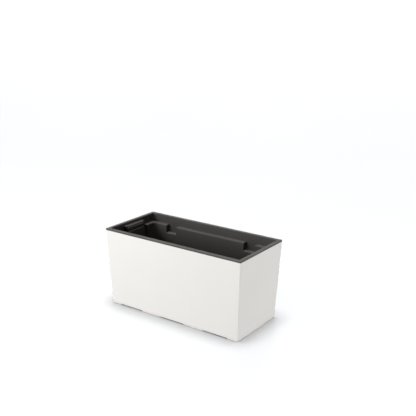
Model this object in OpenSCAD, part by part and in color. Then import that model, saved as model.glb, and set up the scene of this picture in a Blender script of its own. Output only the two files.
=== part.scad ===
// Self-watering trough planter. A tapered outer case holds the water. A liner hangs in it by its rim
// and holds the soil, and perforated wick baskets reach from the liner's floor into the water.
// Millimetres. The origin is on the ground under the middle of the case, +Z is up, +X runs along the
// trough, and the fill tube and the level indicator stand at its +X, -Y corner.

/* [Case] */
// Length over the rim
planter_l = 580; // [570:5:620]
// Width over the rim
planter_w = 268; // [264:2:290]
// Height from the ground to the top of the rim
planter_h = 290; // [286:2:310]
// Lean of the case walls from the vertical, in degrees
draft = 2.55; // [2:0.05:3]
// Thickness of the case walls and floor
case_wall = 2.8; // [2.4:0.1:3.4]
// Height of the case floor's underside above the ground
floor_z = 3.5; // [3.5:0.5:6]
// Length of each shallow notch in the long sides' bottom edge
notch_l = 102; // [80:2:110]
// Height of those notches
notch_h = 3; // [2:0.5:3.5]

/* [Liner] */
// Thickness of the liner walls and floor
liner_wall = 2.4; // [2:0.1:3]
// Width of the rim's top face
rim_w = 13; // [12:0.5:15]
// Height of the rim's outer face
rim_t = 6; // [5:0.5:8]
// Depth of the shelf that runs round the liner, below the rim
shelf_depth = 31; // [28:1:36]
// Width of that shelf
shelf_w = 18.5; // [18:0.5:21]
// Depth of the pocket floors below the rim
pocket_depth = 60; // [52:1:70]
// Length of each pocket in the long walls
pocket_l = 45; // [30:1:50]
// Depth below the rim of the recesses beside the handles
recess_depth = 95; // [70:1:110]
// Distance of the long walls' pockets from the middle of the liner
pocket_x = 175; // [165:1:185]
// Height of the liner's floor above the ground
liner_floor_z = 80; // [79:1:90]

/* [Handles] */
// Length of a handle's grip
grip_l = 100; // [92:1:104]
// Height of a grip
grip_t = 6; // [5:0.5:7]
// Depth of a grip's top below the rim
grip_depth = 10; // [8:0.5:12]
// How far a handle pulls up
handle_travel = 58; // [30:1:60]

/* [Water system] */
// Highest water level above the ground, which is the top of the overflow tube
water_z = 50; // [42:1:52]
// Outer radius of the fill tube
fill_r = 18; // [16:0.5:19]
// Height of the fill tube's mouth above the ground
fill_top_z = 250; // [230:2:252]
// Radius of a wick basket's mouth
basket_r = 32; // [28:0.5:34]
// Distance between wick baskets
basket_pitch = 165; // [155:1:170]

/* [Hidden] */
$fn = 48;
eps = 0.01;
lean = tan(draft);
liner_lean = tan(1);
corner_r = 2.5;
liner_corner_r = 5;

case_top_z = planter_h - rim_t;
floor_top_z = floor_z + case_wall;
shelf_z = planter_h - shelf_depth;
pocket_z = planter_h - pocket_depth;
recess_z = planter_h - recess_depth;
notch_pitch = 185;

// Ribs under the case floor, and the boss round the overflow's hole
rib_t = 2;
rib_h = 1.5;
rib_pitch = 92;
rib_y = 60;
boss_gap = 0.2;

// Rim
rim_plate_t = 2.5;
lip_t = 2;
lip_h = 8;
lip_gap = 0.6;

// Drain slots in the liner's floor, in groups of three
drain_l = 30;
drain_w = 4;
drain_gap = 9;
drain_pitch = 78;
drain_y = 62;

// Handle block in each end wall, the slots in its top and the handle's legs in them
block_w = 90;
block_x = planter_l / 2 - rim_w - shelf_w + 1.5;
block_top_z = planter_h - grip_depth - grip_t;
recess_w = 17;
grip_gap = 1;
grip_d = 14;
grip_r = 3;
grip_bar_l = grip_l - 12;
grip_plate_d = 12;
grip_plate_t = 3;
leg_w = 12;
leg_t = 3;
leg_y = 35;
slot_gap = 0.4;
hook_l = 4;
hook_h = 6;
hook_gap = 1;
hook_z = block_top_z - liner_wall - handle_travel - hook_h - hook_gap;
leg_x = planter_l / 2 - rim_w - 8.5;

// Wick baskets
basket_wall = 2;
basket_foot_r = 25;
basket_foot_z = 14;
flange_t = 2.4;
flange_w = 8;
basket_hole_gap = 0.6;
basket_slots = 10;
basket_slot_w = 5;
basket_slot_z = basket_foot_z + 8;
basket_slot_top_z = liner_floor_z - 12;
foot_holes = 6;
foot_hole_r = 3;
foot_hole_x = 13;

// Fill tube and its lid
fill_x = 224;
fill_y = -70;
fill_wall = 2;
fill_foot_z = 16;
fill_gap = 0.3;
funnel_r = 24;
funnel_h = 16;
funnel_lip_h = 4;
fill_flange_r = 23;
foot_slot_w = 14;
foot_slot_h = 14;
lid_t = 3;
lid_r = 25;
lid_skirt = 3;
lid_skirt_wall = 2;
lid_gap = 0.2;
tab_w = 16;
tab_l = 4;
pin_r = 1.25;
pin_grip = 0.05;
pin_play = 0.08;
pin_l = 24;
knuckle_r = 2.6;
knuckle_l = 14.6;
ear_t = 3.6;
ear_root = 3;
ear_h = 10;
ear_y = (knuckle_l + ear_t) / 2 + 0.3;
hinge_x = fill_x + lid_r + 3;
hinge_z = fill_top_z + 1.6;

// Level indicator
gauge_x = 166;
gauge_y = -70;
gauge_r = 10;
gauge_wall = 1.6;
gauge_top_z = 234;
cage_r = 18.5;
cage_wall = 1.8;
cage_foot_z = 12.6;
cage_lip = 6;
cage_slots = 8;
cage_slot_w = 5;
cage_slot_h = 46;
float_r = 14.6;
float_h = 16;
float_z = 15;
float_bevel = 2;
rod_r = 2.2;
rod_seat = 3;
guide_h = 8;
guide_holes = 3;
flag_r = 6.5;
flag_h = 18;
flag_top_z = gauge_top_z - 26;
window_h = 16;
window_wall = 1.6;
window_lap = 8;

// Overflow tube
overflow_x = -82.5;
overflow_r = 7;
overflow_wall = 1.8;
overflow_flange_r = 12;
overflow_flange_t = 2.5;
overflow_foot_z = floor_z - rib_h;
seal_t = 1.6;
cap_skirt = 6;
cap_wall = 1.6;
cap_gap = 0.1;
cap_top_t = 2;
cap_tab_l = 10;

white = [0.93, 0.92, 0.91];
graphite = [0.2, 0.195, 0.185];
black = [0.1, 0.1, 0.1];

// Half of a case dimension at height z, outside the wall
function case_half(top, z) = top / 2 - (planter_h - z) * lean;

// Outline of a rectangle with rounded corners
function rounded(half_l, half_w, r, n = 6) = [
    for (q = [0:3], i = [0:n])
        let (a = 90 * q + 90 * i / n,
             cx = (q == 0 || q == 3 ? 1 : -1) * (half_l - r),
             cy = (q < 2 ? 1 : -1) * (half_w - r))
        [cx + r * cos(a), cy + r * sin(a)]];

// Straight-sided solid between two rounded rectangles
module taper(low, low_z, high, high_z, r) {
    hull() {
        translate([0, 0, low_z]) linear_extrude(eps) polygon(rounded(low[0], low[1], r));
        translate([0, 0, high_z - eps]) linear_extrude(eps) polygon(rounded(high[0], high[1], r));
    }
}

// The case's outer form, shrunk by inset, from low_z to high_z
module case_form(inset, low_z, high_z) {
    low = [case_half(planter_l, low_z) - inset, case_half(planter_w, low_z) - inset];
    high = [case_half(planter_l, high_z) - inset, case_half(planter_w, high_z) - inset];
    taper(low, low_z, high, high_z, max(corner_r - inset, 1));
}

module outer_case() {
    color(white) difference() {
        union() {
            difference() {
                case_form(0, 0, case_top_z);
                case_form(case_wall, -1, floor_z);
                case_form(case_wall, floor_top_z, case_top_z + 1);
            }
            case_ribs();
            translate([overflow_x, 0, floor_z - rib_h]) cylinder(r = overflow_flange_r, h = rib_h + eps);
        }
        for (i = [-1:1])
            translate([i * notch_pitch - notch_l / 2, -planter_w / 2, -1])
                cube([notch_l, planter_w, notch_h + 1]);
        translate([overflow_x, 0, -1]) cylinder(r = overflow_r + boss_gap, h = floor_top_z + 2);
    }
}

// Shallow ribs that stiffen the case floor from below, clear of the ground
module case_ribs() {
    half_w = case_half(planter_w, 0) - case_wall / 2;
    half_l = case_half(planter_l, 0) - case_wall / 2;
    rib_z = floor_z - rib_h;
    for (i = [-2.5:2.5])
        translate([i * rib_pitch - rib_t / 2, -half_w, rib_z]) cube([rib_t, 2 * half_w, rib_h + eps]);
    for (y = [-rib_y, rib_y])
        translate([-half_l, y - rib_t / 2, rib_z]) cube([2 * half_l, rib_t, rib_h + eps]);
}

// The space above the shelf, grown outwards by grow, from low_z upwards
module upper_room(grow, low_z, high_z) {
    half_l = planter_l / 2 - rim_w + grow;
    half_w = planter_w / 2 - rim_w + grow;
    low_in = (planter_h - low_z) * liner_lean;
    high_in = (planter_h - high_z) * liner_lean;
    taper([half_l - low_in, half_w - low_in], low_z, [half_l - high_in, half_w - high_in], high_z,
        liner_corner_r + grow);
}

// The space inside the shelf down to the floor, grown outwards by grow
module lower_room(grow) {
    half_l = planter_l / 2 - rim_w - shelf_w + grow;
    half_w = planter_w / 2 - rim_w - shelf_w + grow;
    low_in = (shelf_z - liner_floor_z) * lean;
    taper([half_l - low_in, half_w - low_in], liner_floor_z - grow, [half_l, half_w], shelf_z + 1,
        liner_corner_r + grow);
}

// Boxes that the wall pockets and the recesses beside the handles take out of the shelf
module pocket_boxes(grow) {
    for (x = [-pocket_x, pocket_x])
        translate([x - pocket_l / 2 - grow, -planter_w / 2, pocket_z - grow])
            cube([pocket_l + 2 * grow, planter_w, planter_h]);
    for (side = [-1, 1])
        translate([-planter_l / 2, side * (block_w + recess_w) / 2 - recess_w / 2 - grow, recess_z - grow])
            cube([planter_l, recess_w + 2 * grow, planter_h]);
}

// Blocks that carry the handles, shrunk by grow
module handle_blocks(grow) {
    for (side = [0, 1])
        mirror([side, 0, 0]) translate([block_x + grow, -block_w / 2 + grow, 0])
            cube([planter_l / 2 - block_x, block_w - 2 * grow, block_top_z - grow]);
}

// Everything inside the liner's walls, grown outwards by grow
module liner_room(grow) {
    difference() {
        upper_room(grow, shelf_z - grow, planter_h + 1);
        handle_blocks(grow);
    }
    intersection() {
        upper_room(grow, recess_z - grow, shelf_z + 1);
        pocket_boxes(grow);
    }
    lower_room(grow);
}

module rim_ring(half_l, half_w, t) {
    difference() {
        polygon(rounded(half_l, half_w, corner_r));
        polygon(rounded(half_l - t, half_w - t, max(corner_r - t, 1)));
    }
}

module liner_rim() {
    half_l = planter_l / 2;
    half_w = planter_w / 2;
    lip_in = rim_t * lean + case_wall + lip_gap;
    translate([0, 0, case_top_z]) linear_extrude(rim_t) rim_ring(half_l, half_w, case_wall + 1);
    translate([0, 0, planter_h - rim_plate_t]) linear_extrude(rim_plate_t) rim_ring(half_l, half_w, rim_w);
    translate([0, 0, case_top_z - lip_h])
        linear_extrude(lip_h + rim_t - rim_plate_t + 1) rim_ring(half_l - lip_in, half_w - lip_in, lip_t);
}

module liner_floor_holes() {
    for (i = [-1:1])
        translate([i * basket_pitch, 0, 0]) cylinder(r = basket_r + basket_hole_gap, h = planter_h);
    translate([fill_x, fill_y, 0]) cylinder(r = fill_r + fill_gap, h = planter_h);
    translate([gauge_x, gauge_y, 0]) cylinder(r = cage_r + fill_gap, h = planter_h);
    for (i = [-2.5:2.5], side = [-1, 1], k = [-1:1])
        if (side > 0 || i < 1)
            translate([i * drain_pitch - drain_l / 2, side * drain_y + k * drain_gap - drain_w / 2, 0])
                cube([drain_l, drain_w, planter_h]);
}

module liner() {
    color(graphite) difference() {
        union() {
            difference() {
                liner_room(liner_wall);
                translate([-planter_l / 2, -planter_w / 2, planter_h - 1])
                    cube([planter_l, planter_w, liner_wall + 2]);
            }
            liner_rim();
        }
        liner_room(0);
        intersection() {
            liner_floor_holes();
            translate([-planter_l / 2, -planter_w / 2, liner_floor_z - liner_wall - 1])
                cube([planter_l, planter_w, liner_wall + 2]);
        }
        for (x = [-leg_x, leg_x], y = [-leg_y, leg_y])
            translate([x - leg_t / 2 - slot_gap, y - leg_w / 2 - slot_gap, block_top_z - liner_wall - 1])
                cube([leg_t + 2 * slot_gap, leg_w + 2 * slot_gap, liner_wall + 2]);
    }
}

// Section of a grip across its length: x outwards from its inner edge, y upwards
grip_section = concat(
    [[0, 0]],
    [for (i = [0:6]) let (a = 180 - 15 * i) [grip_r + grip_r * cos(a), grip_t - grip_r + grip_r * sin(a)]],
    [[grip_d, grip_t], [grip_d, 0]]);

// A pull-up handle for the +X end: a grip that lies on the block, and two hooked legs
module handle() {
    grip_out = planter_l / 2 - rim_w - grip_gap;
    color(graphite) {
        translate([grip_out - grip_d, grip_bar_l / 2, block_top_z])
            rotate([90, 0, 0]) linear_extrude(grip_bar_l) polygon(grip_section);
        translate([grip_out - grip_plate_d, -grip_l / 2, block_top_z + grip_t - grip_plate_t])
            cube([grip_plate_d, grip_l, grip_plate_t]);
        for (side = [-1, 1]) {
            translate([leg_x - leg_t / 2, side * leg_y - leg_w / 2, hook_z])
                cube([leg_t, leg_w, block_top_z - hook_z + grip_t / 2]);
            translate([leg_x - leg_t / 2, side * (leg_y - leg_w / 2) - hook_l, hook_z])
                cube([leg_t, 2 * hook_l, hook_h]);
        }
    }
}

module handle_right() {
    handle();
}

module handle_left() {
    mirror([1, 0, 0]) handle();
}

// Perforated cup that hangs through a hole in the liner's floor
module wick_basket(x) {
    top_z = liner_floor_z + flange_t;
    color(black) translate([x, 0, 0]) difference() {
        rotate_extrude() polygon([
            [0, basket_foot_z],
            [basket_foot_r, basket_foot_z],
            [basket_r, liner_floor_z],
            [basket_r + flange_w, liner_floor_z],
            [basket_r + flange_w, top_z],
            [basket_r - basket_wall, top_z],
            [basket_foot_r - basket_wall, basket_foot_z + basket_wall],
            [0, basket_foot_z + basket_wall]]);
        for (i = [0:basket_slots - 1])
            rotate([0, 0, 360 * i / basket_slots])
                translate([basket_foot_r - 2 * basket_wall, -basket_slot_w / 2, basket_slot_z])
                    cube([basket_r, basket_slot_w, basket_slot_top_z - basket_slot_z]);
        for (i = [0:foot_holes - 1])
            rotate([0, 0, 360 * i / foot_holes]) translate([foot_hole_x, 0, basket_foot_z - 1])
                cylinder(r = foot_hole_r, h = basket_wall + 2);
    }
}

module wick_basket_left() {
    wick_basket(-basket_pitch);
}

module wick_basket_middle() {
    wick_basket(0);
}

module wick_basket_right() {
    wick_basket(basket_pitch);
}

module fill_tube() {
    funnel_z = fill_top_z - funnel_h;
    color(graphite) difference() {
        union() {
            translate([fill_x, fill_y, 0]) rotate_extrude() polygon([
                [fill_r - fill_wall, fill_foot_z],
                [fill_r, fill_foot_z],
                [fill_r, liner_floor_z],
                [fill_flange_r, liner_floor_z],
                [fill_flange_r, liner_floor_z + flange_t],
                [fill_r, liner_floor_z + flange_t],
                [fill_r, funnel_z],
                [funnel_r, fill_top_z - funnel_lip_h],
                [funnel_r, fill_top_z],
                [funnel_r - fill_wall, fill_top_z],
                [funnel_r - fill_wall, fill_top_z - funnel_lip_h],
                [fill_r - fill_wall, funnel_z]]);
            for (side = [-1, 1])
                translate([fill_x + funnel_r - ear_root, fill_y + side * ear_y, 0]) fill_ear();
        }
        translate([hinge_x, fill_y, hinge_z])
            rotate([90, 0, 0]) cylinder(r = pin_r + pin_grip, h = 2 * pin_l, center = true);
        for (i = [0:3])
            translate([fill_x, fill_y, fill_foot_z - 1]) rotate([0, 0, 90 * i + 45])
                translate([fill_r / 2, -foot_slot_w / 2, 0]) cube([fill_r, foot_slot_w, foot_slot_h + 1]);
    }
}

// One ear of the lid's hinge, on the outside of the funnel
module fill_ear() {
    reach = hinge_x - fill_x - funnel_r + ear_root;
    translate([0, -ear_t / 2, fill_top_z - ear_h]) cube([reach, ear_t, ear_h]);
    translate([reach, 0, hinge_z]) rotate([90, 0, 0]) cylinder(r = knuckle_r, h = ear_t, center = true);
    translate([reach - knuckle_r, -ear_t / 2, fill_top_z - ear_h])
        cube([2 * knuckle_r, ear_t, hinge_z - fill_top_z + ear_h]);
}

module fill_lid() {
    plate_z = fill_top_z + lid_gap;
    skirt_r = funnel_r - fill_wall - 0.5;
    color(graphite) difference() {
        union() {
            translate([fill_x, fill_y, plate_z]) cylinder(r = lid_r, h = lid_t);
            translate([fill_x, fill_y, plate_z - lid_skirt])
                cylinder(r = skirt_r, h = lid_skirt + eps);
            translate([fill_x, fill_y - knuckle_l / 2, plate_z]) cube([hinge_x - fill_x, knuckle_l, lid_t]);
            translate([hinge_x, fill_y, hinge_z])
                rotate([90, 0, 0]) cylinder(r = knuckle_r, h = knuckle_l, center = true);
            translate([fill_x - lid_r - tab_l, fill_y - tab_w / 2, plate_z]) cube([lid_r, tab_w, lid_t - 1]);
        }
        translate([fill_x, fill_y, plate_z - lid_skirt - 1])
            cylinder(r = skirt_r - lid_skirt_wall, h = lid_skirt + 1);
        translate([hinge_x, fill_y, hinge_z])
            rotate([90, 0, 0]) cylinder(r = pin_r + pin_play, h = pin_l, center = true);
    }
}

module fill_lid_pin() {
    color("silver") translate([hinge_x, fill_y, hinge_z])
        rotate([90, 0, 0]) cylinder(r = pin_r, h = pin_l, center = true);
}

module at_gauge(z = 0) {
    translate([gauge_x, gauge_y, z]) children();
}

// Stem of the level indicator: it stands on the liner's floor
module indicator_tube() {
    foot_z = liner_floor_z + flange_t;
    color(graphite) at_gauge() rotate_extrude() polygon([
        [gauge_r - gauge_wall, foot_z],
        [cage_r, foot_z],
        [cage_r, foot_z + 3],
        [gauge_r + 2, foot_z + 9],
        [gauge_r, foot_z + 20],
        [gauge_r, gauge_top_z],
        [gauge_r - gauge_wall, gauge_top_z]]);
}

// Bush that keeps the rod upright in the stem
module indicator_guide() {
    bore_r = gauge_r - gauge_wall;
    color(black) at_gauge(liner_floor_z + 2 * guide_h) difference() {
        cylinder(r = bore_r, h = guide_h);
        translate([0, 0, -1]) cylinder(r = rod_r + 0.3, h = guide_h + 2);
        for (i = [0:guide_holes - 1])
            rotate([0, 0, 360 * i / guide_holes]) translate([(bore_r + rod_r) / 2, 0, -1])
                cylinder(r = 1.6, h = guide_h + 2);
    }
}

// Clear cap in which the flag shows
module indicator_window() {
    out_r = gauge_r + 1.4;
    in_r = gauge_r - 0.6;
    top_z = gauge_top_z + window_h;
    color([0.8, 0.88, 0.9, 0.5]) at_gauge() rotate_extrude() polygon([
        [gauge_r + 0.1, gauge_top_z - window_lap],
        [out_r, gauge_top_z - window_lap],
        [out_r, top_z - window_wall],
        [out_r - window_wall, top_z],
        [0, top_z],
        [0, top_z - window_wall],
        [in_r - 1, top_z - window_wall],
        [in_r, top_z - window_wall - 1],
        [in_r, gauge_top_z + 0.2],
        [gauge_r + 0.1, gauge_top_z + 0.2]]);
}

// Slotted cage round the float, through the liner's floor into the water
module float_cage() {
    color(black) at_gauge() difference() {
        rotate_extrude() polygon([
            [cage_r - cage_lip, cage_foot_z],
            [cage_r, cage_foot_z],
            [cage_r, liner_floor_z],
            [cage_r + 3, liner_floor_z],
            [cage_r + 3, liner_floor_z + flange_t],
            [gauge_r - gauge_wall, liner_floor_z + flange_t],
            [gauge_r - gauge_wall, liner_floor_z],
            [cage_r - cage_wall, liner_floor_z],
            [cage_r - cage_wall, cage_foot_z + cage_wall],
            [cage_r - cage_lip, cage_foot_z + cage_wall]]);
        for (i = [0:cage_slots - 1])
            rotate([0, 0, 360 * i / cage_slots])
                translate([cage_r / 2, -cage_slot_w / 2, cage_foot_z + cage_lip])
                    cube([cage_r, cage_slot_w, cage_slot_h]);
    }
}

module float() {
    color("white") at_gauge(float_z) difference() {
        rotate_extrude() polygon([
            [0, 0],
            [float_r - float_bevel, 0],
            [float_r, float_bevel],
            [float_r, float_h - float_bevel],
            [float_r - float_bevel, float_h],
            [0, float_h]]);
        translate([0, 0, rod_seat]) cylinder(r = rod_r, h = float_h);
    }
}

module indicator_rod() {
    foot_z = float_z + rod_seat;
    color("white") at_gauge(foot_z) cylinder(r = rod_r, h = flag_top_z - flag_h / 2 - foot_z);
}

module indicator_flag() {
    color("red") at_gauge(flag_top_z - flag_h) difference() {
        rotate_extrude() polygon([
            [0, 0], [flag_r - 1, 0], [flag_r, 1], [flag_r, flag_h - 3], [flag_r - 3, flag_h], [0, flag_h]]);
        translate([0, 0, -1]) cylinder(r = rod_r, h = flag_h / 2 + 1);
    }
}

// Standpipe in the case floor: water above its top runs out under the case
module overflow_tube() {
    shoulder_z = floor_top_z + seal_t;
    color(black) translate([overflow_x, 0, 0]) rotate_extrude() polygon([
        [overflow_r - overflow_wall, overflow_foot_z],
        [overflow_r, overflow_foot_z],
        [overflow_r, shoulder_z],
        [overflow_flange_r, shoulder_z],
        [overflow_flange_r, shoulder_z + overflow_flange_t],
        [overflow_r, shoulder_z + overflow_flange_t],
        [overflow_r, water_z],
        [overflow_r - overflow_wall, water_z]]);
}

module overflow_seal() {
    color("dimgray") translate([overflow_x, 0, floor_top_z]) difference() {
        cylinder(r = overflow_flange_r - 0.5, h = seal_t);
        translate([0, 0, -1]) cylinder(r = overflow_r, h = seal_t + 2);
    }
}

// Cap that shuts the overflow for use indoors
module overflow_cap() {
    bore_r = overflow_r + cap_gap;
    color(graphite) translate([overflow_x, 0, water_z]) {
        difference() {
            translate([0, 0, -cap_skirt]) cylinder(r = bore_r + cap_wall, h = cap_skirt + cap_top_t);
            translate([0, 0, -cap_skirt - 1]) cylinder(r = bore_r, h = cap_skirt + 1);
        }
        translate([-cap_tab_l / 2, -1, cap_top_t - eps]) cube([cap_tab_l, 2, 2]);
    }
}

outer_case();
overflow_tube();
overflow_seal();
overflow_cap();
liner();
wick_basket_left();
wick_basket_middle();
wick_basket_right();
handle_left();
handle_right();
fill_tube();
fill_lid();
fill_lid_pin();
indicator_tube();
indicator_guide();
indicator_window();
float_cage();
float();
indicator_rod();
indicator_flag();
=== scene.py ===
import math

import bmesh
import bpy
from mathutils import Matrix, Vector


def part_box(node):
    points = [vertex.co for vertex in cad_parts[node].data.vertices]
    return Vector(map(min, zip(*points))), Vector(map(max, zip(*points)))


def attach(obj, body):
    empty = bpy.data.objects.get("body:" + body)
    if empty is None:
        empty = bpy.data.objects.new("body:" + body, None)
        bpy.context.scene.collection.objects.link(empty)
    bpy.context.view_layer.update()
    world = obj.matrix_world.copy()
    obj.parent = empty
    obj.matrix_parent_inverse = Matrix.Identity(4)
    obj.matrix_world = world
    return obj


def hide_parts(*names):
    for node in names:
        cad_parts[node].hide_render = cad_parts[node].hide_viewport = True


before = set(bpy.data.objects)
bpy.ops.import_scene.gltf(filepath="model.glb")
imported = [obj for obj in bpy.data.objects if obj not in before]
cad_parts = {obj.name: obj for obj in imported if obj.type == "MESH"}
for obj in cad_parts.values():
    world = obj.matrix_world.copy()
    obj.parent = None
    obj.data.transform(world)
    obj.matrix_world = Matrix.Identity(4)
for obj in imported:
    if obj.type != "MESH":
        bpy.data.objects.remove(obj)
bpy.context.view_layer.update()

MM = 0.001

# The planter's outer size, from the frame
case_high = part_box("outer_case")[1]
liner_low, liner_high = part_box("liner")
HALF_L = liner_high.x
HALF_W = liner_high.y
TOP_Z = liner_high.z
CASE_TOP_Z = case_high.z

# The case: its walls lean outwards, towards the top
LEAN = math.tan(math.radians(2.55))
CASE_WALL = 2.8 * MM
FLOOR_Z = 3.5 * MM
FLOOR_TOP_Z = FLOOR_Z + CASE_WALL
CASE_CORNER_R = 2.5 * MM
CASE_EDGE_R = 0.7 * MM
CASE_FOOT_R = 1.1 * MM
FLOOR_FILLET_R = 3 * MM
MIN_CORNER_R = 0.8 * MM

# The shallow notches in the bottom edge of its long sides
NOTCHES = (-1, 0, 1)
NOTCH_PITCH = 185 * MM
NOTCH_HALF_L = 51 * MM
NOTCH_H = 3 * MM
NOTCH_END_R = 1.6 * MM

# The ribs below its floor, and the boss round the overflow's hole
RIB_H = 1.5 * MM
RIB_HALF_T = 1 * MM
RIB_PITCH = 92 * MM
RIB_Y = 60 * MM
RIB_EDGE_R = 0.4 * MM
CROSS_RIBS = 6
BOSS_R = 12 * MM
OVERFLOW_HOLE_R = 7.2 * MM

# The liner's rim, and the lip below it that fits inside the case
RIM_W = 13 * MM
RIM_EDGE_R = 0.7 * MM
RIM_FOOT_R = 0.5 * MM
RIM_PLATE_Z = TOP_Z - 2.5 * MM
LIP_INSET = (TOP_Z - CASE_TOP_Z) * LEAN + CASE_WALL + 0.6 * MM
LIP_T = 2 * MM
LIP_FOOT_Z = CASE_TOP_Z - 8 * MM

# The liner's walls, shelf, pockets, handle blocks and the recesses beside them
LINER_WALL = 2.4 * MM
LINER_LEAN = math.tan(math.radians(1))
LINER_CORNER_R = 5 * MM
LINER_FLOOR_Z = liner_low.z + LINER_WALL
EDGE_R = 1.8 * MM
SHELF_Z = TOP_Z - 31 * MM
SHELF_W = 18.5 * MM
POCKET_Z = TOP_Z - 60 * MM
POCKET_X = 175 * MM
POCKET_HALF_L = 22.5 * MM
RECESS_Z = TOP_Z - 95 * MM
RECESS_W = 17 * MM
BLOCK_X = HALF_L - RIM_W - SHELF_W + 1.5 * MM
BLOCK_TOP_Z = TOP_Z - 16 * MM
BLOCK_HALF_W = 45 * MM

# The slots for the handles' legs, and the drain slots in the liner's floor
LEG_X = 268.5 * MM
LEG_Y = 35 * MM
LEG_HOLE_HALF_T = 1.9 * MM
LEG_HOLE_HALF_W = 6.4 * MM
LEG_HOLE_CORNER_R = 0.4 * MM
DRAIN_COLUMNS = 6
FRONT_DRAIN_COLUMNS = 4
DRAIN_PITCH = 78 * MM
DRAIN_Y = 62 * MM
DRAIN_GAP = 9 * MM
DRAIN_HALF_L = 15 * MM
DRAIN_HALF_W = 2 * MM
DRAIN_CORNER_R = 1 * MM

# Centre and radius of the holes in the liner's floor: for the wick baskets, fill tube and float cage
LINER_HOLES = [
    ((-165 * MM, 0), 32.6 * MM),
    ((0, 0), 32.6 * MM),
    ((165 * MM, 0), 32.6 * MM),
    ((224 * MM, -70 * MM), 18.3 * MM),
    ((166 * MM, -70 * MM), 18.8 * MM),
]

# Distances within which points are the same, and turns of a face that count as flat and as sharp
TOLERANCE = 0.01 * MM
LOFT_WELD = 0.002 * MM
CAD_WELD = 0.03 * MM
FLAT_TURN = math.radians(0.6)
SHARP_TURN = math.radians(40)

# The studio, in metres, and the strength of its glows. Bands are sines of the elevation
FLOOR_HALF = 120.0
PATCH_Z = -0.02 * MM
PATCH_MARGIN = 2.5 * MM
LIGHT_DISTANCE = 2.6
BACKDROP_SIDE = (-0.57, 0.82, 0)
BACKDROP_GLOW = 0.9
FLOOR_GLOW = 0.72
FLOOR_BAND_END = (0.05, 0.1)
HORIZON_GLOW = 0.42
HORIZON_BAND = (-0.03, 0.08)
BACKDROP_BAND = (0.03, 0.6)


# ---------------------------------------------------------------- materials

def node(tree, kind, **inputs):
    """A new shader node with the given input values."""
    made = tree.nodes.new(kind)
    for key, value in inputs.items():
        made.inputs[key.replace("_", " ")].default_value = value
    return made


def noise(tree, scale, detail=2.0):
    """Noise in the frame's own metres: scale is features per metre."""
    place = tree.nodes.new("ShaderNodeTexCoord")
    made = node(tree, "ShaderNodeTexNoise", Scale=scale, Detail=detail)
    tree.links.new(place.outputs["Object"], made.inputs["Vector"])
    return made


def ranged(tree, source, low, high):
    """The source's value, spread from low to high."""
    made = node(tree, "ShaderNodeMapRange", From_Min=0.3, From_Max=0.7, To_Min=low, To_Max=high)
    tree.links.new(source, made.inputs["Value"])
    return made.outputs["Result"]


def mixed(tree, factor, first, second):
    """Two colours mixed by a factor."""
    made = tree.nodes.new("ShaderNodeMix")
    made.data_type = "RGBA"
    made.inputs["A"].default_value = (*first, 1)
    made.inputs["B"].default_value = (*second, 1)
    tree.links.new(factor, made.inputs["Factor"])
    return made.outputs["Result"]


def plastic(name, colour, roughness, shift=0.04, spread=0.05, grain=1800.0, depth=0.02, coat=0.0):
    """Moulded plastic: uneven colour and gloss, and the fine grain of the mould."""
    material = bpy.data.materials.new(name)
    material.use_nodes = True
    tree = material.node_tree
    shader = tree.nodes["Principled BSDF"]
    darker = [c * (1 - shift) for c in colour]
    lighter = [min(c * (1 + shift), 1) for c in colour]
    cloud = ranged(tree, noise(tree, 7).outputs["Fac"], 0, 1)
    tree.links.new(mixed(tree, cloud, darker, lighter), shader.inputs["Base Color"])
    flow = ranged(tree, noise(tree, 45, 4).outputs["Fac"], roughness - spread, roughness + spread)
    tree.links.new(flow, shader.inputs["Roughness"])
    bump = node(tree, "ShaderNodeBump", Strength=depth, Distance=0.1 * MM)
    tree.links.new(noise(tree, grain, 3).outputs["Fac"], bump.inputs["Height"])
    tree.links.new(bump.outputs["Normal"], shader.inputs["Normal"])
    shader.inputs["IOR"].default_value = 1.49
    shader.inputs["Coat Weight"].default_value = coat
    shader.inputs["Coat Roughness"].default_value = 0.25
    return material


def clear_plastic(name):
    material = plastic(name, (0.86, 0.92, 0.92), 0.08, shift=0.02, spread=0.03, grain=300, depth=0.01)
    material.node_tree.nodes["Principled BSDF"].inputs["Transmission Weight"].default_value = 0.95
    return material


def steel(name):
    material = plastic(name, (0.62, 0.62, 0.6), 0.3, shift=0.08, spread=0.08, grain=2500, depth=0.05)
    material.node_tree.nodes["Principled BSDF"].inputs["Metallic"].default_value = 1
    return material


MATERIALS = {
    "case_white": plastic("case_white", (0.8, 0.78, 0.757), 0.42, shift=0.008, grain=1400, depth=0.03),
    "liner_graphite": plastic("liner_graphite", (0.06, 0.0565, 0.051), 0.5, shift=0.05, depth=0.12),
    "handle_graphite": plastic("handle_graphite", (0.066, 0.062, 0.057), 0.45, shift=0.05, depth=0.1),
    "black_plastic": plastic("black_plastic", (0.022, 0.022, 0.023), 0.4, shift=0.1, depth=0.1),
    "seal_rubber": plastic("seal_rubber", (0.035, 0.035, 0.035), 0.75, shift=0.12, depth=0.3),
    "float_white": plastic("float_white", (0.78, 0.77, 0.73), 0.7, shift=0.03, grain=420, depth=0.6),
    "flag_red": plastic("flag_red", (0.62, 0.025, 0.018), 0.28, shift=0.05, depth=0.05, coat=0.3),
    "clear_plastic": clear_plastic("clear_plastic"),
    "pin_steel": steel("pin_steel"),
}


# ---------------------------------------------------------------- mesh helpers

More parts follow.
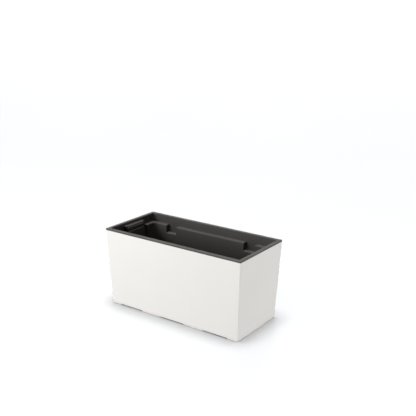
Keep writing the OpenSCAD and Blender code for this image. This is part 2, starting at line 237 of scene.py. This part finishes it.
def piece(name, bm, body, slot, replaced, sharp_angle=38):
    """Turns a bmesh into a finished piece of the planter that stands for a CAD node."""
    mesh = bpy.data.meshes.new(name)
    bmesh.ops.recalc_face_normals(bm, faces=bm.faces)
    bm.to_mesh(mesh)
    bm.free()
    for polygon in mesh.polygons:
        polygon.use_smooth = True
    mesh.set_sharp_from_angle(angle=math.radians(sharp_angle))
    mesh.materials.append(MATERIALS[slot])
    made = bpy.data.objects.new(name, mesh)
    bpy.context.scene.collection.objects.link(made)
    keep_normals = made.modifiers.new("even_normals", "WEIGHTED_NORMAL")
    keep_normals.keep_sharp = True
    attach(made, body)
    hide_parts(replaced)


def arc(centre_a, centre_b, radius, start, end, steps=4):
    """Points of an arc, with its angles in degrees."""
    angles = [math.radians(start + (end - start) * i / steps) for i in range(steps + 1)]
    return [(centre_a + radius * math.cos(a), centre_b + radius * math.sin(a)) for a in angles]


def rounded_loop(half_l, half_w, radius, side_xs, steps=6):
    """A rectangle with rounded corners, anticlockwise, with points at side_xs along its long sides."""
    in_l = half_l - radius
    in_w = half_w - radius
    loop = arc(in_l, in_w, radius, 0, 90, steps)
    loop += [(x, half_w) for x in reversed(side_xs)]
    loop += arc(-in_l, in_w, radius, 90, 180, steps)
    loop += arc(-in_l, -in_w, radius, 180, 270, steps)
    loop += [(x, -half_w) for x in side_xs]
    loop += arc(in_l, -in_w, radius, 270, 360, steps)
    return loop


def skin(bm, first, second):
    """Quads between two rings of vertices."""
    count = len(first)
    for i in range(count):
        j = (i + 1) % count
        bm.faces.new((first[i], first[j], second[j], second[i]))


def ring_edges(bm, ring):
    """The edges along a ring of vertices, made where there are none."""
    pairs = [(ring[i - 1], ring[i]) for i in range(len(ring))]
    return [bm.edges.get(pair) or bm.edges.new(pair) for pair in pairs]


def circle(bm, centre_x, radius, z, steps=48):
    """A ring of vertices on the planter's middle line."""
    return [bm.verts.new((centre_x + x, y, z)) for x, y in arc(0, 0, radius, 0, 360, steps)[:-1]]


def bar(bm, x0, x1, y0, y1, z0, z1, edge):
    """A rectangular rib with rounded edges."""
    made = bmesh.ops.create_cube(bm, size=1)["verts"]
    for v in made:
        v.co = Vector((x1 if v.co.x > 0 else x0, y1 if v.co.y > 0 else y0, z1 if v.co.z > 0 else z0))
    edges = list({e for v in made for e in v.link_edges})
    bmesh.ops.bevel(bm, geom=edges, offset=edge, segments=2, profile=0.5, affect="EDGES")


# ---------------------------------------------------------------- outer case

def notch_height(x):
    """Height of the long sides' bottom edge at x: 0, or up in one of the shallow notches."""
    nearest = max(NOTCHES[0], min(NOTCHES[-1], round(x / NOTCH_PITCH))) * NOTCH_PITCH
    inside = NOTCH_HALF_L - abs(x - nearest)
    if inside <= 0:
        return 0
    share = min(inside / NOTCH_END_R, 1)
    return NOTCH_H * math.sqrt(1 - (1 - share) ** 2)


def notch_side_xs():
    """Points along a long side: close together at the ends of the notches."""
    shares = [0, 0.02, 0.1, 0.3, 0.6, 1]
    xs = {i * NOTCH_PITCH for i in NOTCHES} | {i * NOTCH_PITCH / 2 for i in (-1, 1)}
    for i in NOTCHES:
        for side in (-1, 1):
            xs |= {i * NOTCH_PITCH + side * (NOTCH_HALF_L - share * NOTCH_END_R) for share in shares}
    return sorted(xs)


def case_section():
    """Section of the case wall: inset from the outer face and height, from the floor's underside, round
    the foot, up the outside, over the top edge and down the inside to the floor."""
    r = CASE_EDGE_R
    wall = CASE_WALL
    foot = CASE_FOOT_R
    low = [(wall, FLOOR_Z), (wall, 2 * r)] + arc(wall - r, r, r, 0, -90)
    out = arc(foot, foot, foot, 270, 180) + [(0, FLOOR_Z), (0, CASE_TOP_Z / 3), (0, CASE_TOP_Z * 2 / 3)]
    top = arc(r, CASE_TOP_Z - r, r, 180, 90) + arc(wall - r, CASE_TOP_Z - r, r, 90, 0)
    fillet = arc(wall + FLOOR_FILLET_R, FLOOR_TOP_Z + FLOOR_FILLET_R, FLOOR_FILLET_R, 180, 270)
    return low + out + top + [(wall, CASE_TOP_Z / 2)] + fillet


def case_ring(bm, inset, height, side_xs):
    """A ring of the case wall, which rises over the notches near the bottom edge."""
    inset_l = HALF_L - (TOP_Z - height) * LEAN - inset
    inset_w = HALF_W - (TOP_Z - height) * LEAN - inset
    radius = max(CASE_CORNER_R - inset, MIN_CORNER_R)
    ring = []
    for x, y in rounded_loop(inset_l, inset_w, radius, side_xs):
        on_side = abs(y) > inset_w - TOLERANCE and abs(x) < inset_l - radius
        lift = notch_height(x) * max(0, 1 - height / FLOOR_Z) if on_side else 0
        ring.append(bm.verts.new((x, y, height + lift)))
    return ring


def add_ribs(bm, low_z):
    """The ribs that cross below the case's floor."""
    end_x = HALF_L - TOP_Z * LEAN - CASE_WALL / 2
    end_y = HALF_W - TOP_Z * LEAN - CASE_WALL / 2
    high_z = FLOOR_Z + RIB_HALF_T
    for i in range(CROSS_RIBS):
        x = (i - (CROSS_RIBS - 1) / 2) * RIB_PITCH
        bar(bm, x - RIB_HALF_T, x + RIB_HALF_T, -end_y, end_y, low_z, high_z, RIB_EDGE_R)
    for y in (-RIB_Y, RIB_Y):
        bar(bm, -end_x, end_x, y - RIB_HALF_T, y + RIB_HALF_T, low_z, high_z, RIB_EDGE_R)


def make_case():
    bm = bmesh.new()
    side_xs = notch_side_xs()
    rings = [case_ring(bm, inset, height, side_xs) for inset, height in case_section()]
    for first, second in zip(rings, rings[1:]):
        skin(bm, first, second)
    tube_low, tube_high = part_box("overflow_tube")
    hole_x = (tube_low.x + tube_high.x) / 2
    boss_z = FLOOR_Z - RIB_H
    circles = [circle(bm, hole_x, radius, z) for radius, z in (
        (OVERFLOW_HOLE_R, FLOOR_TOP_Z), (OVERFLOW_HOLE_R, boss_z), (BOSS_R, boss_z), (BOSS_R, FLOOR_Z))]
    for first, second in zip(circles, circles[1:]):
        skin(bm, first, second)
    for outer, inner in ((rings[-1], circles[0]), (rings[0], circles[-1])):
        bmesh.ops.triangle_fill(bm, use_beauty=True, edges=ring_edges(bm, outer) + ring_edges(bm, inner))
    add_ribs(bm, boss_z)
    piece("case_shell", bm, "case", "case_white", "outer_case")


# ---------------------------------------------------------------- liner

def rounded_corner(before, corner, after, radius, steps):
    """Points of the arc that rounds a right-angled corner, within half of each side beside it."""
    reach = min(radius, (before - corner).length / 2, (after - corner).length / 2)
    back = (before - corner).normalized() * reach
    ahead = (after - corner).normalized() * reach
    turns = [math.pi / 2 * i / steps for i in range(steps + 1)]
    return [corner + back * (1 - math.sin(t)) + ahead * (1 - math.cos(t)) for t in turns]


def liner_loop(line):
    """Outline of the liner at one height. A pocket or recess that the line doesn't open lies flat on
    the wall, so that every outline has the same number of points."""
    quarter = [
        (line["block"], line["block_y"]), (line["recess"], line["block_y"]),
        (line["recess"], line["recess_y"]), (line["end"], line["recess_y"]),
        (line["end"], line["side"]),
        (line["pocket_far"], line["side"]), (line["pocket_far"], line["pocket"]),
        (line["pocket_near"], line["pocket"]), (line["pocket_near"], line["side"])]
    back = quarter[::-1]
    left = [(-x, y) for x, y in back] + [(-x, -y) for x, y in quarter]
    corners = [Vector(corner) for corner in quarter + left + [(x, -y) for x, y in back]]
    loop = []
    for i, corner in enumerate(corners):
        main = i % len(quarter) == len(quarter) // 2
        radius = line["corner_r"] if main else EDGE_R
        after = corners[(i + 1) % len(corners)]
        loop += rounded_corner(corners[i - 1], corner, after, radius, 6 if main else 3)
    return loop


def liner_line(grow, walls, corner_r, **opened):
    """The lines of an outline with its walls at (end, side), and all its pockets shut but those given."""
    end, side = walls
    line = {
        "end": end, "side": side, "corner_r": corner_r, "recess": end, "block": end, "pocket": side,
        "block_y": BLOCK_HALF_W - grow, "recess_y": BLOCK_HALF_W + RECESS_W + grow,
        "pocket_near": POCKET_X - POCKET_HALF_L - grow, "pocket_far": POCKET_X + POCKET_HALF_L + grow}
    line.update(opened)
    return line


def quarter_turn(steps=3):
    """An arc's distance from the one face and from the other, from where it leaves the first."""
    turns = [math.pi / 2 * i / steps for i in range(steps + 1)]
    return [(1 - math.sin(t), 1 - math.cos(t)) for t in turns]


def room_lines(grow, top_z):
    """(height, line) down the liner's wall: grow is 0 on the inside, and the wall's thickness outside."""
    corner_r = LINER_CORNER_R + grow
    block = BLOCK_X + grow

    def upper(z):
        inset = RIM_W - grow + (TOP_Z - z) * LINER_LEAN
        return HALF_L - inset, HALF_W - inset

    def lower(z, wide=0.0):
        inset = RIM_W + SHELF_W - grow + (SHELF_Z - z) * LEAN - wide
        return HALF_L - inset, HALF_W - inset

    lines = [(z, liner_line(grow, upper(z), corner_r)) for z in (top_z, BLOCK_TOP_Z - grow)]
    for out, down in quarter_turn():
        z = BLOCK_TOP_Z - grow - down * EDGE_R
        block_y = BLOCK_HALF_W - grow - out * EDGE_R
        lines.append((z, liner_line(grow, upper(z), corner_r, block=block + out * EDGE_R, block_y=block_y)))
    z = SHELF_Z - grow
    lines.append((z, liner_line(grow, upper(z), corner_r, block=block)))
    for out, down in quarter_turn():
        z = SHELF_Z - grow - down * EDGE_R
        wide = out * EDGE_R
        walls = lower(z, wide)
        recess, pocket = upper(z)
        lines.append((z, liner_line(
            grow + wide, walls, corner_r, pocket=pocket, recess=recess,
            block=min(walls[0], block), block_y=BLOCK_HALF_W - grow)))
    z = POCKET_Z - grow
    recess, pocket = upper(z)
    lines.append((z, liner_line(grow, lower(z), corner_r, pocket=pocket, recess=recess, block=lower(z)[0])))
    for out, down in quarter_turn():
        z = POCKET_Z - grow - down * EDGE_R
        end, side = lower(z)
        lines.append((z, liner_line(
            grow, (end, side), corner_r, pocket=side + out * EDGE_R, recess=upper(z)[0], block=end)))
    z = RECESS_Z - grow
    lines.append((z, liner_line(grow, lower(z), corner_r, recess=upper(z)[0], block=lower(z)[0])))
    for out, down in quarter_turn():
        z = RECESS_Z - grow - down * EDGE_R
        end, side = lower(z)
        lines.append((z, liner_line(grow, (end, side), corner_r, recess=end + out * EDGE_R, block=end)))
    for up, inwards in quarter_turn(5):
        z = LINER_FLOOR_Z - grow + up * FLOOR_FILLET_R
        lines.append((z, liner_line(grow, lower(z, -inwards * FLOOR_FILLET_R), corner_r)))
    return lines


def rim_lines():
    """(height, line) over the rim, from the top of the inside to the top of the wall's outside."""
    section = [(RIM_W - side * RIM_EDGE_R, TOP_Z - top * RIM_EDGE_R) for top, side in quarter_turn(4)]
    section += [(side * RIM_EDGE_R, TOP_Z - top * RIM_EDGE_R) for side, top in quarter_turn(4)]
    section += [(side * RIM_FOOT_R, CASE_TOP_Z + up * RIM_FOOT_R) for up, side in quarter_turn()]
    lip_in = LIP_INSET + LIP_T
    section += [(LIP_INSET, CASE_TOP_Z), (LIP_INSET, LIP_FOOT_Z), (lip_in, LIP_FOOT_Z), (lip_in, RIM_PLATE_Z)]
    lines = []
    for inset, z in section:
        corner_r = LINER_CORNER_R if inset > lip_in else max(CASE_CORNER_R - inset, RIM_EDGE_R)
        lines.append((z, liner_line(0, (HALF_L - inset, HALF_W - inset), corner_r)))
    return lines


def prism(bm, outline, low_z, high_z):
    """A closed upright prism."""
    low, high = [[bm.verts.new((x, y, z)) for x, y in outline] for z in (low_z, high_z)]
    skin(bm, low, high)
    bm.faces.new(low[::-1])
    bm.faces.new(high)


def slot(centre_x, centre_y, half_l, half_w, radius):
    """Outline of a slot with rounded corners."""
    return [(centre_x + x, centre_y + y) for x, y in rounded_loop(half_l, half_w, radius, [], 4)]


def liner_cutters():
    """The holes in the liner's floor, and the slots for the handles' legs."""
    bm = bmesh.new()
    below_z = LINER_FLOOR_Z - 2 * LINER_WALL
    above_z = LINER_FLOOR_Z + LINER_WALL
    for centre, radius in LINER_HOLES:
        prism(bm, arc(*centre, radius, 0, 360, 64)[:-1], below_z, above_z)
    for column in range(DRAIN_COLUMNS):
        x = (column - (DRAIN_COLUMNS - 1) / 2) * DRAIN_PITCH
        for side in (-1, 1):
            if side < 0 and column >= FRONT_DRAIN_COLUMNS:
                continue
            for row in (-1, 0, 1):
                y = side * DRAIN_Y + row * DRAIN_GAP
                prism(bm, slot(x, y, DRAIN_HALF_L, DRAIN_HALF_W, DRAIN_CORNER_R), below_z, above_z)
    for x in (-LEG_X, LEG_X):
        for y in (-LEG_Y, LEG_Y):
            prism(
                bm, slot(x, y, LEG_HOLE_HALF_T, LEG_HOLE_HALF_W, LEG_HOLE_CORNER_R),
                BLOCK_TOP_Z - 2 * LINER_WALL, BLOCK_TOP_Z + LINER_WALL)
    return bm


def cut(bm, cutters):
    """A bmesh with the closed forms of another one cut out of it."""
    made = []
    for form in (bm, cutters):
        bmesh.ops.recalc_face_normals(form, faces=form.faces)
        mesh = bpy.data.meshes.new("cut")
        form.to_mesh(mesh)
        form.free()
        made.append(bpy.data.objects.new("cut", mesh))
        bpy.context.scene.collection.objects.link(made[-1])
    kept, tool = made
    boolean = kept.modifiers.new("cut", "BOOLEAN")
    boolean.operation = "DIFFERENCE"
    boolean.solver = "MANIFOLD"
    boolean.object = tool
    mesh = bpy.data.meshes.new_from_object(kept.evaluated_get(bpy.context.evaluated_depsgraph_get()))
    result = bmesh.new()
    result.from_mesh(mesh)
    for each in made:
        old = each.data
        bpy.data.objects.remove(each)
        bpy.data.meshes.remove(old)
    bpy.data.meshes.remove(mesh)
    return result


def make_liner():
    """The walls as one skin over the inside, the rim and the outside, with the holes cut out."""
    bm = bmesh.new()
    inside = room_lines(0, TOP_Z - 2 * RIM_EDGE_R)
    outside = room_lines(LINER_WALL, RIM_PLATE_Z)
    rings = [
        [bm.verts.new((x, y, z)) for x, y in liner_loop(line)]
        for z, line in inside[::-1] + rim_lines() + outside]
    for first, second in zip(rings, rings[1:]):
        skin(bm, first, second)
    bm.faces.new(rings[0])
    bm.faces.new(rings[-1])
    bmesh.ops.remove_doubles(bm, verts=bm.verts, dist=LOFT_WELD)
    piece("liner_shell", cut(bm, liner_cutters()), "liner", "liner_graphite", "liner")


# ---------------------------------------------------------------- parts rounded from their CAD form

def cad_form(name):
    """A CAD node's form as a bmesh, with the triangles of each flat face merged."""
    bm = bmesh.new()
    bm.from_mesh(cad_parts[name].data)
    bmesh.ops.remove_doubles(bm, verts=bm.verts, dist=CAD_WELD)
    bmesh.ops.dissolve_limit(
        bm, angle_limit=FLAT_TURN, verts=bm.verts, edges=bm.edges, use_dissolve_boundaries=False)
    bmesh.ops.connect_verts_concave(bm, faces=bm.faces)
    return bm


def round_edges(bm, radius):
    """Rounds every edge whose faces turn sharply."""
    edges = [e for e in bm.edges if len(e.link_faces) == 2 and e.calc_face_angle(0) > SHARP_TURN]
    bmesh.ops.bevel(
        bm, geom=edges, offset=radius, offset_type="OFFSET", segments=3, profile=0.5,
        affect="EDGES", clamp_overlap=True, miter_outer="SHARP", miter_inner="SHARP")


ROUNDED_PARTS = [
    # node, body, material slot, edge radius in mm
    ("handle_left", "handle_left", "handle_graphite", 0.5),
    ("handle_right", "handle_right", "handle_graphite", 0.5),
    ("wick_basket_left", "liner", "black_plastic", 0.3),
    ("wick_basket_middle", "liner", "black_plastic", 0.3),
    ("wick_basket_right", "liner", "black_plastic", 0.3),
    ("fill_tube", "liner", "liner_graphite", 0.3),
    ("fill_lid", "fill_lid", "handle_graphite", 0.4),
    ("fill_lid_pin", "liner", "pin_steel", 0.15),
    ("indicator_tube", "liner", "liner_graphite", 0.3),
    ("indicator_guide", "liner", "black_plastic", 0.2),
    ("indicator_window", "liner", "clear_plastic", 0.2),
    ("float_cage", "liner", "black_plastic", 0.25),
    ("float", "float", "float_white", 0.4),
    ("indicator_rod", "float", "float_white", 0.2),
    ("indicator_flag", "float", "flag_red", 0.3),
    ("overflow_tube", "overflow", "black_plastic", 0.25),
    ("overflow_seal", "overflow", "seal_rubber", 0.2),
    ("overflow_cap", "overflow_cap", "handle_graphite", 0.3),
]


def make_rounded_parts():
    """The smaller pieces: their CAD forms, with rounded edges."""
    for name, body, slot, radius in ROUNDED_PARTS:
        bm = cad_form(name)
        round_edges(bm, radius * MM)
        piece(name + "_moulding", bm, body, slot, name)


# ---------------------------------------------------------------- stage

def floor_material():
    """Pale studio floor, a little glossy."""
    material = bpy.data.materials.new("floor_pale")
    material.use_nodes = True
    tree = material.node_tree
    shader = tree.nodes["Principled BSDF"]
    cloud = ranged(tree, noise(tree, 0.7).outputs["Fac"], 0, 1)
    colour = mixed(tree, cloud, (0.194, 0.196, 0.199), (0.198, 0.2, 0.203))
    tree.links.new(colour, shader.inputs["Base Color"])
    shader.inputs["Roughness"].default_value = 0.28
    return material


def make_floor():
    """The studio floor. The glow of the world stands in for the light it sends up."""
    bm = bmesh.new()
    bmesh.ops.create_grid(bm, x_segments=8, y_segments=8, size=FLOOR_HALF)
    mesh = bpy.data.meshes.new("floor")
    bm.to_mesh(mesh)
    bm.free()
    floor = bpy.data.objects.new("floor", mesh)
    bpy.context.scene.collection.objects.link(floor)
    mesh.materials.append(floor_material())
    floor.visible_diffuse = False
    floor.visible_glossy = False
    floor.visible_shadow = False
    return floor


def make_patch(material):
    """A sheet just below the floor, which shuts out the glow from right under the planter."""
    bm = bmesh.new()
    half_l = HALF_L - TOP_Z * LEAN + PATCH_MARGIN
    half_w = HALF_W - TOP_Z * LEAN + PATCH_MARGIN
    corners = rounded_loop(half_l, half_w, CASE_CORNER_R, [])
    bm.faces.new([bm.verts.new((x, y, PATCH_Z)) for x, y in corners])
    mesh = bpy.data.meshes.new("floor_patch")
    bm.to_mesh(mesh)
    bm.free()
    mesh.materials.append(material)
    patch = bpy.data.objects.new("floor_patch", mesh)
    bpy.context.scene.collection.objects.link(patch)


def aim_light(name, light, place):
    """Adds a light that looks at the planter's middle."""
    made = bpy.data.objects.new(name, light)
    made.location = place
    made.rotation_euler = (Vector((0, 0, TOP_Z / 2)) - Vector(place)).to_track_quat("-Z", "Y").to_euler()
    bpy.context.scene.collection.objects.link(made)
    return made


def overhead_light(name, irradiance, spread):
    """Light from a round patch of ceiling, the same all over the floor."""
    light = bpy.data.lights.new(name, "SUN")
    light.energy = irradiance
    light.angle = math.radians(spread)
    return aim_light(name, light, (0, 0, LIGHT_DISTANCE))


def softbox(name, azimuth, elevation, width, height, power):
    """A soft light seen from the planter's middle at these angles; azimuth 0 is straight in front."""
    light = bpy.data.lights.new(name, "AREA")
    light.shape = "RECTANGLE"
    light.size = width
    light.size_y = height
    light.energy = power
    turn = math.radians(azimuth)
    climb = math.radians(elevation)
    reach = LIGHT_DISTANCE * math.cos(climb)
    height_z = TOP_Z / 2 + LIGHT_DISTANCE * math.sin(climb)
    made = aim_light(name, light, (reach * math.sin(turn), -reach * math.cos(turn), height_z))
    made.visible_camera = False


def product(tree, first, second):
    """Two values multiplied."""
    times = tree.nodes.new("ShaderNodeMath")
    times.operation = "MULTIPLY"
    tree.links.new(first, times.inputs[0])
    tree.links.new(second, times.inputs[1])
    return times.outputs["Value"]


def between(tree, value, bottom, top, soft):
    """1 where a value lies between two others and 0 outside, with soft edges."""
    rise = node(tree, "ShaderNodeMapRange", From_Min=bottom - soft, From_Max=bottom + soft)
    fall = node(tree, "ShaderNodeMapRange", From_Min=top - soft, From_Max=top + soft, To_Min=1, To_Max=0)
    tree.links.new(value, rise.inputs["Value"])
    tree.links.new(value, fall.inputs["Value"])
    return product(tree, rise.outputs["Result"], fall.outputs["Result"])


def make_world():
    """The glow of the lit floor below the horizon, of the white walls round it, and of a backdrop."""
    world = bpy.data.worlds.new("studio")
    world.use_nodes = True
    tree = world.node_tree
    sky = tree.nodes["Background"]
    direction = tree.nodes.new("ShaderNodeTexCoord").outputs["Generated"]
    split = tree.nodes.new("ShaderNodeSeparateXYZ")
    tree.links.new(direction, split.inputs["Vector"])
    toward = tree.nodes.new("ShaderNodeVectorMath")
    toward.operation = "DOT_PRODUCT"
    toward.inputs[1].default_value = BACKDROP_SIDE
    tree.links.new(direction, toward.inputs[0])
    facing = node(tree, "ShaderNodeMapRange", From_Min=-0.2, From_Max=1, To_Min=0, To_Max=BACKDROP_GLOW)
    tree.links.new(toward.outputs["Value"], facing.inputs["Value"])
    up = split.outputs["Z"]
    backdrop = product(tree, between(tree, up, *BACKDROP_BAND, 0.03), facing.outputs["Result"])
    start, end = FLOOR_BAND_END
    low = node(tree, "ShaderNodeMapRange", From_Min=start, From_Max=end, To_Min=FLOOR_GLOW, To_Max=0)
    tree.links.new(up, low.inputs["Value"])
    around = tree.nodes.new("ShaderNodeMath")
    around.operation = "MULTIPLY_ADD"
    around.inputs[1].default_value = HORIZON_GLOW
    tree.links.new(between(tree, up, *HORIZON_BAND, 0.01), around.inputs[0])
    tree.links.new(low.outputs["Result"], around.inputs[2])
    total = tree.nodes.new("ShaderNodeMath")
    total.operation = "ADD"
    tree.links.new(around.outputs["Value"], total.inputs[0])
    tree.links.new(backdrop, total.inputs[1])
    tree.links.new(total.outputs["Value"], sky.inputs["Strength"])
    sky.inputs["Color"].default_value = (1, 1, 1, 1)
    bpy.context.scene.world = world


def make_light(floor):
    """The planter's own lights, and two that only wash the floor white."""
    overhead_light("overhead", irradiance=2.9, spread=20)
    floor_only = bpy.data.collections.new("floor_only")
    floor_only.objects.link(floor)
    for name, irradiance, spread in (("floor_wash", 8.7, 27), ("floor_fill", 3.3, 130)):
        wash = overhead_light(name, irradiance, spread)
        wash.light_linking.receiver_collection = floor_only
    softbox("front", azimuth=-15, elevation=14, width=0.9, height=0.9, power=28)
    softbox("front_left", azimuth=-45, elevation=36, width=0.9, height=0.9, power=26.6)
    softbox("side", azimuth=100, elevation=0.3, width=1.6, height=0.26, power=21)
    make_world()
    bpy.context.scene.view_settings.view_transform = "Standard"


def make_camera():
    """The photograph's view: azimuth and elevation of the line of sight, and where it passes the planter."""
    azimuth = math.radians(35.08)
    elevation = math.radians(16.19)
    roll = math.radians(0.469)
    distance = 2.4988
    aim_right = 0.0557
    aim_up = 0.2316
    level = math.cos(elevation)
    back = Vector((math.sin(azimuth) * level, -math.cos(azimuth) * level, math.sin(elevation)))
    right = back.cross(Vector((0, 0, -1))).normalized()
    up = back.cross(right)
    camera = bpy.data.cameras.new("camera")
    camera.sensor_width = 36
    camera.lens = 60.035
    made = bpy.data.objects.new("camera", camera)
    place = Vector((0, 0, TOP_Z / 2)) + back * distance + right * aim_right + up * aim_up
    across = right * math.cos(roll) + up * math.sin(roll)
    upright = up * math.cos(roll) - right * math.sin(roll)
    made.matrix_world = Matrix.Translation(place) @ Matrix((across, upright, back)).transposed().to_4x4()
    bpy.context.scene.collection.objects.link(made)
    bpy.context.scene.camera = made


make_camera()
floor = make_floor()
make_patch(floor.data.materials[0])
make_light(floor)
make_case()
make_liner()
make_rounded_parts()
